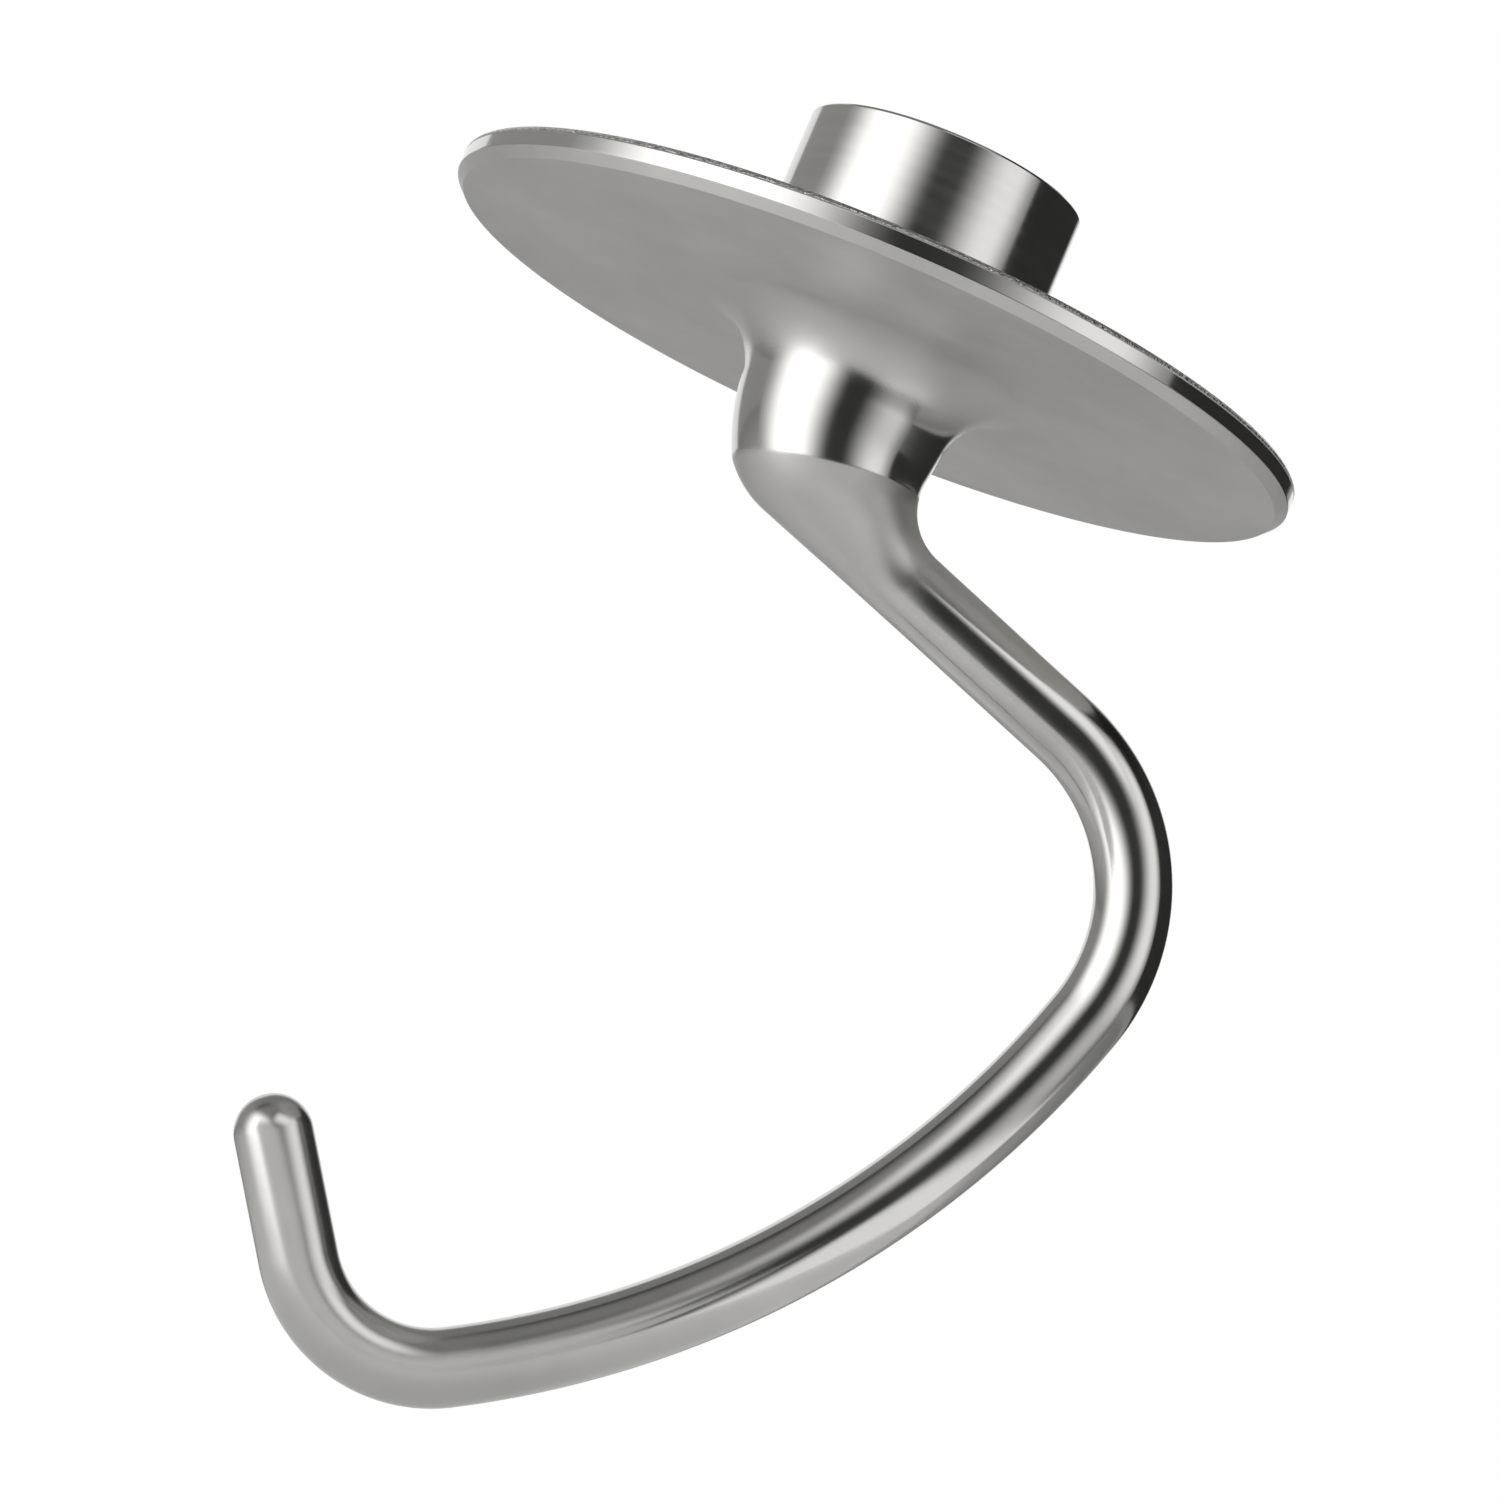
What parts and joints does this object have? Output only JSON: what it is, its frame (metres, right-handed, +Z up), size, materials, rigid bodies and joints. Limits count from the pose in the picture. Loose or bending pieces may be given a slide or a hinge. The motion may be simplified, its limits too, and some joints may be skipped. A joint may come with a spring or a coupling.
{
  "type": "stand mixer dough hook",
  "caption": "C-shaped round-rod dough hook hanging from a tapered boss, under a round disc and a bored collar with a hooked pin slot.",
  "frame": {"origin": "on the shaft bore's axis, in the plane of the disc's top face", "axes": "+Z up the shaft bore's axis and out of its mouth, +X towards the belly of the rod, +Y towards the pin slot"},
  "size_m": [0.1114, 0.105, 0.1585],
  "materials": {
    "steel": "polished, with turned marks on the collar"
  },
  "bodies": {
    "root": {"dough_hook": "steel"}
  },
  "joints": []
}
